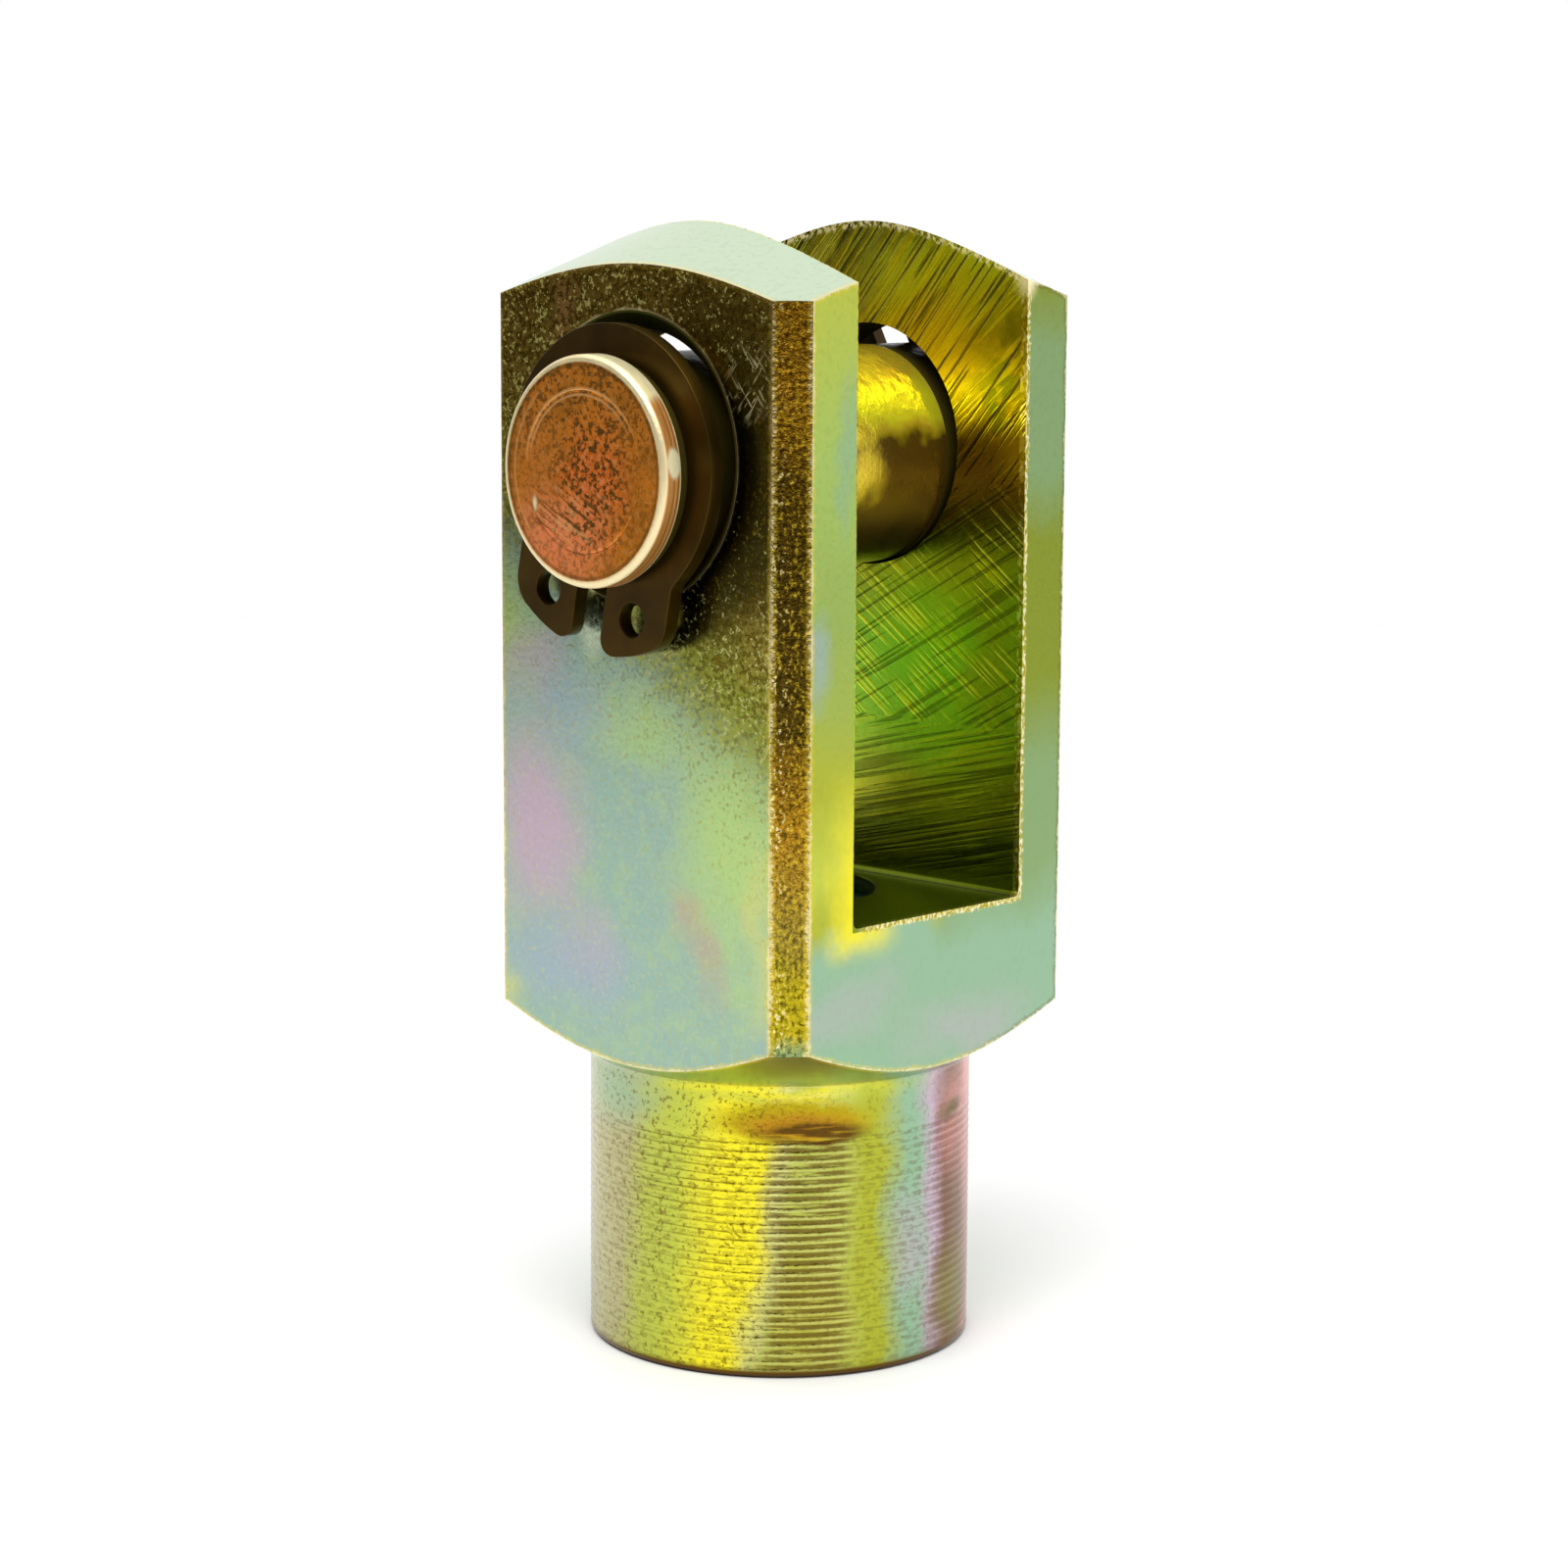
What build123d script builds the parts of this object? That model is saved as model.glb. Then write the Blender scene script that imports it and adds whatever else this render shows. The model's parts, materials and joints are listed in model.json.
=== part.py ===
"""Clevis rod end: a fork head turned and milled from one square bar, its clevis pin
and the two retaining rings that hold the pin.

Frame: millimetres, +Z up along the rod's axis. The origin is the centre of the shank's
end face, which the part stands on. The pin lies along Y and the fork is open along X.
"""
from build123d import *
from math import cos, radians, sin, tan
import os

# ------------------------------------------------------------------ fork head
INCH = 25.4
bar_width = 0.75 * INCH                 # square bar, across the flats
bar_corner_chamfer = 1.2                # leg of the 45 degree chamfer along each bar corner
fork_length = 2.0 * INCH                # shank end to the highest edge of the ears
crown_angle = 24.5                      # the turned top falls away by this from level

shank_diameter = 17.5
shank_length = 13.3                     # shank end to the foot of the shoulder cone
shank_end_chamfer = 0.35
shoulder_angle = 30.0                   # the turned shoulder rises by this from level
neck_fillet = 0.5                       # between shank and shoulder

slot_width = 11.1
slot_floor_height = 20.7
slot_corner_radius = 0.3
slot_edge_break = 0.15                  # deburred rim of the slot on both open sides

pin_hole_diameter = 11.1
pin_hole_to_top = 10.15                 # hole centre below the highest edge of the ears
pin_hole_countersink = 0.7              # radial width of the countersink on both ears

thread_bore_diameter = 8.64             # 3/8-24 UNF, bored to the crests of its thread
thread_mouth_diameter = 10.0            # countersink at the shank end
countersink_angle = 90.0                # of every countersink, across the cone

# ------------------------------------------------------------------ clevis pin
pin_diameter = 10.0
pin_end_land = 1.455                    # groove's outer wall to the pin's end
pin_rest_gap = 0.1                      # under the pin, which hangs low in its wide hole
pin_end_chamfer = 0.3
pin_crown_height = 0.05                 # the end swells by this inside its chamfer
pin_crown_diameter = 6.9                # flat middle of the end

# ------------------------------------------------------------------ retaining rings
groove_diameter = 9.6
ring_thickness = 0.75
ring_side_play = 0.05                   # ring to each wall of its groove
ring_ear_gap = 0.72                     # end play: ring to the ear that it retains
ring_bore_clearance = 0.02              # ring to the floor of its groove, on the radius
ring_body_diameter = 12.4               # outer edge of the eccentric ring
ring_eccentricity = 0.1                 # that edge stands off this far, away from the gap
ring_gap = 1.8                          # between the two lugs
ring_edge_chamfer = 0.12                # die-rolled outer edge, on the side away from the ear
lug_diameter = 16.1                     # circle through the tips of the lugs
lug_span = 9.4                          # across both lugs
lug_tip_radius = 0.8                    # lug corner beside the gap
lug_root_radius = 0.6                   # between a lug's side and the ring
lug_shoulder_radius = 1.5               # lug corner away from the gap
plier_hole_diameter = 1.5
plier_hole_spacing = 5.3
plier_hole_drop = 5.95                  # from the pin's axis towards the gap
front_ring_turn = -11.0                 # degrees, from each ring's gap straight down
rear_ring_turn = 152.0

# ------------------------------------------------------------------ dependent sizes
pin_hole_height = fork_length - pin_hole_to_top
pin_height = pin_hole_height - (pin_hole_diameter - pin_diameter) / 2 + pin_rest_gap
ring_inner_face = bar_width / 2 + ring_ear_gap
groove_inner_wall = ring_inner_face - ring_side_play
groove_outer_wall = ring_inner_face + ring_thickness + ring_side_play
pin_length = 2 * (groove_outer_wall + pin_end_land)
ring_bore_diameter = groove_diameter + 2 * ring_bore_clearance


def tan_deg(angle):
    return tan(radians(angle))


def make_fork_head():
    """One piece of square bar, turned at both ends, slotted, cross-drilled and bored."""
    envelope_radius = bar_width         # outside the bar's corners
    shoulder_rise = (envelope_radius - shank_diameter / 2) * tan_deg(shoulder_angle)
    crown_fall = (envelope_radius - slot_width / 2) * tan_deg(crown_angle)
    crown_rise = slot_width / 2 * tan_deg(crown_angle)

    with BuildPart() as fork_head:
        # the turned outline: shank, neck, shoulder cone and coned crown
        with BuildSketch(Plane.XZ) as outline:
            with BuildLine():
                Polyline(
                    (0, 0),
                    (shank_diameter / 2, 0),
                    (shank_diameter / 2, shank_length),
                    (envelope_radius, shank_length + shoulder_rise),
                    (envelope_radius, fork_length - crown_fall),
                    (0, fork_length + crown_rise),
                    close=True,
                )
            make_face()
            shank_corners = outline.vertices().filter_by_position(
                Axis.X, shank_diameter / 2, shank_diameter / 2
            )
            shank_corners = shank_corners.sort_by(Axis.Y)
            chamfer(shank_corners[0], shank_end_chamfer)
            fillet(shank_corners[-1], neck_fillet)
        revolve(axis=Axis.Z)

        # the square bar that it is turned from, with its corners taken off
        with BuildSketch(Plane.XY):
            bar = Rectangle(bar_width, bar_width)
            chamfer(bar.vertices(), bar_corner_chamfer)
        extrude(amount=fork_length + crown_rise, mode=Mode.INTERSECT)

        # the slot between the ears, milled through along X
        with BuildSketch(Plane.YZ) as slot:
            with Locations((0, slot_floor_height)):
                Rectangle(slot_width, fork_length, align=(Align.CENTER, Align.MIN))
            fillet(slot.vertices().group_by(Axis.Y)[0], slot_corner_radius)
        extrude(amount=bar_width, both=True, mode=Mode.SUBTRACT)
        for open_side in (-bar_width / 2, bar_width / 2):
            rim = fork_head.edges().filter_by_position(Axis.X, open_side, open_side)
            rim = rim.filter_by_position(Axis.Y, -slot_width / 2, slot_width / 2)
            rim = rim.filter_by_position(Axis.Z, slot_floor_height, fork_length)
            chamfer(rim, slot_edge_break)

        # the cross hole, countersunk on the outside of both ears
        front_ear = Plane(origin=(0, -bar_width / 2, pin_hole_height), z_dir=(0, -1, 0))
        rear_ear = Plane(origin=(0, bar_width / 2, pin_hole_height), z_dir=(0, 1, 0))
        with Locations(front_ear, rear_ear):
            CounterSinkHole(
                radius=pin_hole_diameter / 2,
                counter_sink_radius=pin_hole_diameter / 2 + pin_hole_countersink,
                counter_sink_angle=countersink_angle,
            )

        # the bore for the rod's thread, up through the shank into the slot
        with Locations(Plane(origin=(0, 0, 0), z_dir=(0, 0, -1))):
            CounterSinkHole(
                radius=thread_bore_diameter / 2,
                counter_sink_radius=thread_mouth_diameter / 2,
                counter_sink_angle=countersink_angle,
            )
    return fork_head


def make_clevis_pin():
    """Turned pin, grooved near both ends, its ends chamfered and slightly crowned."""
    axis_plane = Plane(origin=(0, 0, pin_height), z_dir=(0, 0, 1))
    pin_radius = pin_diameter / 2
    end = pin_length / 2
    with BuildPart() as clevis_pin:
        with BuildSketch(axis_plane):
            with BuildLine():
                Polyline(
                    (0, 0),
                    (0, end),
                    (pin_crown_diameter / 2, end),
                    (pin_radius - pin_end_chamfer, end - pin_crown_height),
                    (pin_radius, end - pin_crown_height - pin_end_chamfer),
                    (pin_radius, groove_outer_wall),
                    (groove_diameter / 2, groove_outer_wall),
                    (groove_diameter / 2, groove_inner_wall),
                    (pin_radius, groove_inner_wall),
                    (pin_radius, 0),
                    close=True,
                )
            make_face()
            mirror(about=Plane.XZ)
        revolve(axis=Axis((0, 0, pin_height), (0, 1, 0)))
    return clevis_pin


def make_retaining_ring(outward, turn):
    """External ring with two lugs, sprung into its groove; outward is +1 or -1 along Y."""
    seat = Plane(
        origin=(0, outward * ring_inner_face, pin_height),
        x_dir=(-outward * cos(radians(turn)), 0, sin(radians(turn))),
        z_dir=(0, outward, 0),
    )
    with BuildPart() as ring:
        with BuildSketch(seat) as outline:
            # both lugs as one block below the pin, its far corners rounded
            Circle(lug_diameter / 2)
            lug_side = (Align.CENTER, Align.MAX)
            Rectangle(lug_span, lug_diameter, align=lug_side, mode=Mode.INTERSECT)
            fillet(outline.vertices().group_by(Axis.Y)[0], lug_shoulder_radius)

            # the eccentric ring, widest across from its gap
            with Locations((0, ring_eccentricity)):
                Circle(ring_body_diameter / 2)
            lug_roots = outline.vertices().filter_by_position(Axis.Y, -ring_body_diameter / 2, 0)
            fillet(lug_roots.group_by(Axis.Y)[-1], lug_root_radius)
            Circle(ring_bore_diameter / 2, mode=Mode.SUBTRACT)

            # the gap, and the holes for the pliers' tips
            Rectangle(ring_gap, lug_diameter, align=lug_side, mode=Mode.SUBTRACT)
            fillet(outline.vertices().group_by(Axis.Y)[0], lug_tip_radius)
            with Locations((0, -plier_hole_drop)):
                with GridLocations(plier_hole_spacing, 0, 2, 1):
                    Circle(plier_hole_diameter / 2, mode=Mode.SUBTRACT)
        extrude(amount=ring_thickness)
        outer_face = ring.faces().sort_by(Axis.Y)[-1 if outward > 0 else 0]
        chamfer(outer_face.outer_wire().edges(), ring_edge_chamfer)
    return ring


pieces = {
    "fork_head": make_fork_head(),
    "clevis_pin": make_clevis_pin(),
    "front_retaining_ring": make_retaining_ring(-1, front_ring_turn),
    "rear_retaining_ring": make_retaining_ring(1, rear_ring_turn),
}
os.makedirs("parts", exist_ok=True)
for name, piece in pieces.items():
    piece.part.label = name
    export_step(piece.part, f"parts/{name}.step")
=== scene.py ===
"""Clevis rod end: the plated fork head, its clevis pin and the two black retaining rings.

Laid out as an add-on and run as a script. Lengths are in metres, +Z runs up the rod's
axis, the pin lies along Y and the fork is open along X.
"""
import json
import math
import random

import bmesh
import bpy
from mathutils import Matrix, Vector

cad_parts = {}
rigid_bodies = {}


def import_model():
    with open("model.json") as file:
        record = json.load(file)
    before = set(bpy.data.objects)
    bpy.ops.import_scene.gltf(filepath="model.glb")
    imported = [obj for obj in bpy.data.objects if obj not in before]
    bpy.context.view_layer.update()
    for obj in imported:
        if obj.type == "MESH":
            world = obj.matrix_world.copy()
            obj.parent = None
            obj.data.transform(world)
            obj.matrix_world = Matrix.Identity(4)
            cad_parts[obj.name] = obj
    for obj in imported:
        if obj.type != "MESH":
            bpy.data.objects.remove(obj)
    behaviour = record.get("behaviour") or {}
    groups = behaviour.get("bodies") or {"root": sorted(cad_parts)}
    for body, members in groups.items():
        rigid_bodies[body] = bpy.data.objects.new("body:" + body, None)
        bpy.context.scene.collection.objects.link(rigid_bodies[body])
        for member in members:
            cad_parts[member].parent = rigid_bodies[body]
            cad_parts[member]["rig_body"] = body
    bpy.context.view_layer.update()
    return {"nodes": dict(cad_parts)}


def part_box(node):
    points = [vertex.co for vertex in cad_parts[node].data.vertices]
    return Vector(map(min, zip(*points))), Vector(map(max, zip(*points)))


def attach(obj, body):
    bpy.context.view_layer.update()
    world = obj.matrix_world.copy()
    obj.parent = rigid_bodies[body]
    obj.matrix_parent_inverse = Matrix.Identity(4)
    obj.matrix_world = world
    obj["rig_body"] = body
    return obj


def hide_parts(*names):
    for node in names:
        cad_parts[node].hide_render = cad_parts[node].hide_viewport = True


bl_info = {
    "name": "Clevis Rod End",
    "version": (1, 0, 0),
    "blender": (4, 5, 0),
    "location": "3D View > Sidebar > Rod End",
    "description": "Models and finishes a plated clevis rod end with its pin and rings",
    "category": "Object",
}

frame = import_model()
FORK_LOW, FORK_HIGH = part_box("fork_head")
PIN_LOW, PIN_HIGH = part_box("clevis_pin")
PIN_HEIGHT = (PIN_LOW.z + PIN_HIGH.z) / 2

MM = 0.001
WELD = 0.002 * MM               # points closer than this are one point
UP = Vector((0, 0, 1))
ALONG_PIN = Vector((0, 1, 0))

TURNED_SIDES = 160              # facets round what is turned
HOLE_SIDES = 144
MOUTH_SIDES = 96
THREAD_SIDES = 48
PLIER_HOLE_SIDES = 48
THREAD_FLANK = math.radians(30)
SPARE_TURNS = 5                 # of the thread, trimmed off at its ends
GROOVE_SEED = 7
GROOVE_LEAST = 0.88             # the shallowest turned groove, as a share of the deepest
GROOVE_SHAPE = ((0.22, 0.7), (0.5, 1.0), (0.78, 0.7), (1.0, 0.0))     # pitch and depth shares
FLOOR_SIDES = 96
FLOOR_ROUGHNESS = 0.6
SENSOR = 36                     # the camera's, in millimetres
NEAREST_SEEN = 0.01             # the camera's near end, in metres
RAMP_SPAN = 50.0                # millimetres that a ramp of tints on the fork runs over


# ------------------------------------------------------------------ sizes and colours
def length(name, description, millimetres):
    return bpy.props.FloatProperty(
        name=name, description=description, default=millimetres * MM,
        unit="LENGTH", precision=5,
    )


def angle(name, description, degrees):
    return bpy.props.FloatProperty(
        name=name, description=description, default=math.radians(degrees), unit="ROTATION",
    )


def colour(name, description, red, green, blue):
    return bpy.props.FloatVectorProperty(
        name=name, description=description, default=(red, green, blue),
        subtype="COLOR", min=0.0, max=1.0,
    )


class ForkSizes(bpy.types.PropertyGroup):
    """Sizes of the fork head."""

    bar_chamfer: length("Bar chamfer", "Leg of the chamfer along each corner of the bar", 1.2)
    shank_diameter: length("Shank", "Diameter of the turned shank", 17.5)
    shank_length: length("Shank length", "Shank end to the foot of the shoulder", 13.3)
    end_round: length("End rounding", "Radius round the shank's end", 0.35)
    neck_fillet: length("Neck fillet", "Radius between shank and shoulder", 0.5)
    shoulder_angle: angle("Shoulder", "Rise of the turned shoulder from level", 30)
    crown_angle: angle("Crown", "Fall of the turned top from level", 24.5)
    groove_pitch: length("Groove pitch", "Feed of the turning tool along the shank", 0.367)
    groove_depth: length("Groove depth", "Depth of the turned grooves", 0.028)
    smooth_neck: length("Smooth neck", "Finely turned stretch under the shoulder", 2.3)
    slot_width: length("Slot width", "Between the ears", 11.1)
    slot_floor: length("Slot floor", "Height of the slot's floor", 20.7)
    slot_corner: length("Slot corner", "Radius along the slot's floor", 0.3)
    hole_diameter: length("Pin hole", "Diameter of the hole in each ear", 11.1)
    hole_to_top: length("Hole to top", "Pin hole's centre below the top of the ears", 10.15)
    countersink: length("Countersink", "Radial width of the countersink on each ear", 0.7)
    thread_minor: length("Thread minor", "Diameter across the crests of the thread", 8.64)
    thread_major: length("Thread major", "Diameter across the roots of the thread", 9.525)
    thread_pitch: length("Thread pitch", "Rise of one turn, 24 to the inch", 25.4 / 24)
    thread_mouth: length("Thread mouth", "Diameter of the countersink under the shank", 10.0)
    edge_round: length("Edge rounding", "Width of the worn edges", 0.15)


class PinSizes(bpy.types.PropertyGroup):
    """Sizes of the clevis pin."""

    end_round: length("End rounding", "Radius round each end", 0.3)
    score_diameter: length("Scored circle", "Circle turned on each end", 6.9)
    score_depth: length("Score", "Depth of that circle", 0.02)
    groove_break: length("Groove edge", "Broken edge of the groove beside each end", 0.08)
    groove_diameter: length("Groove", "Diameter of the ring grooves", 9.6)
    groove_inner: length("Groove, inner wall", "From the middle of the pin", 10.195)
    groove_outer: length("Groove, outer wall", "From the middle of the pin", 11.45)


class RingSizes(bpy.types.PropertyGroup):
    """Sizes of a retaining ring."""

    bore_diameter: length("Bore", "Inner diameter as it sits in its groove", 9.64)
    body_diameter: length("Body", "Outer diameter of the eccentric ring", 12.4)
    eccentricity: length("Eccentricity", "Offset of the outer edge, away from the gap", 0.1)
    gap: length("Gap", "Between the lugs", 1.8)
    lug_diameter: length("Lug circle", "Circle through the tips of the lugs", 16.1)
    lug_span: length("Lug span", "Across both lugs", 9.4)
    lug_tip_round: length("Lug tip", "Corner radius beside the gap", 0.8)
    lug_root_round: length("Lug root", "Radius between lug and ring", 0.6)
    lug_shoulder_round: length("Lug shoulder", "Corner radius away from the gap", 1.5)
    plier_hole_diameter: length("Plier hole", "Diameter of the holes in the lugs", 1.5)
    plier_hole_spacing: length("Plier hole spacing", "Between the two holes", 5.3)
    plier_hole_drop: length("Plier hole drop", "From the pin's axis to the holes", 5.95)
    die_roll: length("Die roll", "Radius of the stamped outer edge", 0.22)
    burr_round: length("Inner edges", "Radius of the other edges", 0.04)
    front_turn: angle("Front ring", "Turn of the front ring's gap from straight down", -11)
    rear_turn: angle("Rear ring", "Turn of the rear ring's gap from straight down", 152)


class Tints(bpy.types.PropertyGroup):
    """Colours of the plating film, the pin and the rings; some also serve as painted highlight
    and painted shade.
    """

    lemon: colour("Lemon", "Thin film", 0.86, 0.76, 0.03)
    butter: colour("Butter", "Thin film", 0.50, 0.55, 0.07)
    straw: colour("Straw", "Thin film", 0.60, 0.60, 0.20)
    grass: colour("Grass", "Film between straw and leaf", 0.40, 0.43, 0.04)
    leaf: colour("Leaf", "Film between straw and mint", 0.42, 0.60, 0.22)
    meadow: colour("Meadow", "Film on the near strip", 0.38, 0.53, 0.13)
    herb: colour("Herb", "Film on the near strip", 0.31, 0.43, 0.10)
    fern: colour("Fern", "Dull film on the far strip", 0.24, 0.30, 0.03)
    sage: colour("Sage", "Dull film on turned surfaces", 0.24, 0.37, 0.16)
    mint: colour("Mint", "Film on the milled front", 0.30, 0.45, 0.38)
    teal: colour("Teal", "Film on the milled sides", 0.28, 0.45, 0.29)
    haze: colour("Haze", "Blue-grey film", 0.32, 0.42, 0.47)
    lilac: colour("Lilac", "Thick film", 0.50, 0.39, 0.48)
    rose: colour("Rose", "Thickest film", 0.60, 0.24, 0.22)
    plum: colour("Plum", "Thickest film, stained", 0.24, 0.11, 0.09)
    sand: colour("Sand", "Worn film on the shank", 0.45, 0.42, 0.20)
    pearl: colour("Pearl", "Film on the crown", 0.64, 0.77, 0.56)
    gold: colour("Gold", "Film on rough skin", 0.75, 0.56, 0.03)
    honey: colour("Honey", "Film on rough skin", 0.46, 0.37, 0.012)
    ochre: colour("Ochre", "Film on rough skin", 0.46, 0.24, 0.015)
    # Bronze, like fern, also serves as painted shade on the upper front.
    bronze: colour("Bronze", "Dull film on the upper front", 0.34, 0.25, 0.035)
    # Moor is painted shade: the painted shadow beside the ring and the countersinks of the pin
    # holes.
    shade_olive: colour("Moor", "Darkest film on the upper front", 0.043, 0.048, 0.008)
    peat: colour("Peat", "Dull film on rough skin", 0.16, 0.09, 0.008)
    bark: colour("Bark", "Darkest film on rough skin", 0.10, 0.06, 0.007)
    # Pond and lime also carry painted shade low in the slot and painted light high in it.
    pond: colour("Pond", "Film low in the slot", 0.20, 0.25, 0.02)
    moss: colour("Moss", "Film half way up the slot", 0.42, 0.46, 0.04)
    emerald: colour("Emerald", "Film half way up the slot", 0.30, 0.56, 0.05)
    lime: colour("Lime", "Film high in the slot", 0.60, 0.66, 0.06)
    # Soot is also painted shade: the blot beside the ring, the pin holes, and the pin's barrel
    # below and inside them.
    soot_and_shade: colour("Soot", "Darkest flecks", 0.045, 0.034, 0.005)
    umber: colour("Umber", "Stain in turned grooves", 0.12, 0.06, 0.01)
    # Cream is also painted highlight and glint, on the pin, round the pin holes and on the far
    # ear.
    cream_wear_and_highlight: colour("Cream", "Rubbed edges", 0.95, 0.86, 0.52)
    copper: colour("Copper", "Pin ends", 0.78, 0.15, 0.015)
    amber: colour("Amber", "Pin ends", 0.62, 0.21, 0.015)
    rust: colour("Rust", "Pin ends, outside the scored circle", 0.45, 0.16, 0.012)
    salmon: colour("Salmon", "Pin ends, where rubbed", 0.92, 0.28, 0.10)
    tan: colour("Tan", "Smooth part of the pin's end", 0.62, 0.21, 0.025)
    peach: colour("Peach", "Pin, outside the rings", 0.80, 0.46, 0.18)
    brass: colour("Brass", "Film high in the slot", 0.56, 0.46, 0.03)
    # Canary is a painted highlight on the pin's barrel.
    barrel_highlight: colour("Canary", "Brightest film on the pin's barrel", 1.0, 0.98, 0.03)
    reed: colour("Reed", "Film between straw and grass on the shank", 0.46, 0.50, 0.09)
    ring_dark: colour("Ring, dark", "Phosphated steel", 0.022, 0.012, 0.001)
    ring_brown: colour("Ring, brown", "Phosphated steel", 0.085, 0.047, 0.004)


class StageSettings(bpy.types.PropertyGroup):
    """Camera, floor and light."""

    camera_place: bpy.props.FloatVectorProperty(
        name="Camera", description="Where the camera stands", subtype="TRANSLATION",
        default=(114.73 * MM, -121.68 * MM, 51.58 * MM), unit="LENGTH",
    )
    camera_azimuth: angle("Azimuth", "Camera's angle round the part", 43.276)
    camera_elevation: angle("Elevation", "Camera's angle above the horizon", 8.907)
    camera_roll: angle("Roll", "Camera's turn about its line of sight", 0.32)
    camera_lens: bpy.props.FloatProperty(
        name="Lens", description="Focal length on a 36 mm sensor", default=85.15,
        unit="CAMERA",
    )
    floor_radius: length("Floor", "Radius of the pale table top", 300)
    floor_tint: colour("Floor tint", "Colour of the table top", 0.9, 0.9, 0.9)
    bright_side: colour("Lit side", "Colour of the lit walls of the studio", 1.0, 1.0, 1.0)
    dark_side: colour("Unlit side", "Colour of the unlit front", 0.09, 0.06, 0.03)
    lamp_place: bpy.props.FloatVectorProperty(
        name="Lamp", description="Where the soft lamp hangs", subtype="TRANSLATION",
        default=(0.15, -0.25, 0.6), unit="LENGTH",
    )
    lamp_size: length("Lamp size", "Diameter of the soft lamp", 500)
    lamp_power: bpy.props.FloatProperty(
        name="Lamp power", description="Power of the soft lamp", default=3.2, unit="POWER",
    )


# ------------------------------------------------------------------ modelling
def select_only(obj):
    bpy.ops.object.select_all(action="DESELECT")
    obj.select_set(True)
    bpy.context.view_layer.objects.active = obj


def edit(obj, action="DESELECT"):
    """Opens a piece in edit mode with nothing or, by the action SELECT, all of it selected."""
    select_only(obj)
    bpy.ops.object.mode_set(mode="EDIT")
    bpy.ops.mesh.select_mode(type="VERT")
    bpy.ops.mesh.select_all(action=action)


def leave_edit():
    bpy.ops.object.mode_set(mode="OBJECT")


def pick_edges(obj, wanted):
    """Selects the edges for which wanted(edge) is true; the piece is in edit mode."""
    bpy.ops.mesh.select_mode(type="EDGE")
    mesh = bmesh.from_edit_mesh(obj.data)
    for edge in mesh.edges:
        edge.select_set(wanted(edge))
    mesh.select_flush_mode()
    bmesh.update_edit_mesh(obj.data)


def middle(edge):
    return (edge.verts[0].co + edge.verts[1].co) / 2


def is_upright(edge):
    return (edge.verts[0].co - edge.verts[1].co).xy.length < WELD


def is_sharp(edge, degrees=15):
    return len(edge.link_faces) == 2 and edge.calc_face_angle() > math.radians(degrees)


def round_edges(obj, wanted, radius, segments=3):
    edit(obj)
    pick_edges(obj, wanted)
    bpy.ops.mesh.bevel(
        offset=radius, offset_type="OFFSET", segments=segments, affect="EDGES",
        clamp_overlap=True,
    )
    leave_edit()


def round_corner(obj, corner, radius, turn, segments=8):
    """Rounds an upright corner of a flat piece and its mirror image across X."""
    reach = radius * math.tan(turn / 2)

    def away(edge):
        place = middle(edge)
        if not is_upright(edge):
            return math.inf
        return math.hypot(abs(place.x) - corner[0], place.y - corner[1])

    edit(obj)
    pick_edges(obj, lambda edge: 5 * WELD < away(edge) < reach * 1.1)
    bpy.ops.mesh.dissolve_edges(use_verts=True)
    leave_edit()
    round_edges(obj, lambda edge: away(edge) <= 5 * WELD, reach, segments)


def settle(name):
    """Names the primitive that was just added, and moves its place into its mesh."""
    obj = bpy.context.object
    obj.name = name
    bpy.ops.object.transform_apply(location=True, rotation=True, scale=True)
    return obj


def block(name, low, high):
    """A box between two corners."""
    low, high = Vector(low), Vector(high)
    bpy.ops.object.select_all(action="DESELECT")
    bpy.ops.mesh.primitive_cube_add(size=1, location=(low + high) / 2, scale=high - low)
    return settle(name)


def disc(name, diameter, low, high, centre=(0, 0), sides=TURNED_SIDES):
    """An upright cylinder between two heights."""
    bpy.ops.object.select_all(action="DESELECT")
    bpy.ops.mesh.primitive_cylinder_add(
        radius=diameter / 2, depth=high - low, vertices=sides,
        location=(*centre, (low + high) / 2),
    )
    return settle(name)


def arc(centre, radius, first, last, steps):
    """Points of an arc, by angles in degrees."""
    angles = [math.radians(first + (last - first) * i / steps) for i in range(steps + 1)]
    return [(centre[0] + radius * math.cos(a), centre[1] + radius * math.sin(a)) for a in angles]


def trace(name, points):
    """A line of vertices, extruded from point to point and left in edit mode."""
    bpy.ops.object.select_all(action="DESELECT")
    bpy.ops.mesh.primitive_plane_add(size=MM)
    obj = bpy.context.object
    obj.name = name
    edit(obj, "SELECT")
    bpy.ops.mesh.merge(type="CENTER")
    bpy.ops.transform.translate(value=points[0])
    for here, there in zip(points, points[1:]):
        bpy.ops.mesh.extrude_vertices_move(TRANSFORM_OT_translate={"value": there - here})
    return obj


def lathe(name, outline, segments, axis=UP, centre=Vector((0, 0, 0))):
    """Turns an outline of (radius, place along the axis) points about the axis."""
    out = Vector((1, 0, 0))
    obj = trace(name, [centre + out * radius + axis * along for radius, along in outline])
    bpy.ops.mesh.select_all(action="SELECT")
    bpy.ops.mesh.spin(steps=segments, angle=math.tau, center=centre, axis=axis)
    close_up()
    return obj


def close_up():
    """Welds the seam and the poles and turns every face outwards, then leaves edit mode."""
    bpy.ops.mesh.select_all(action="SELECT")
    bpy.ops.mesh.remove_doubles(threshold=WELD)
    bpy.ops.mesh.normals_make_consistent(inside=False)
    leave_edit()


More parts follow.
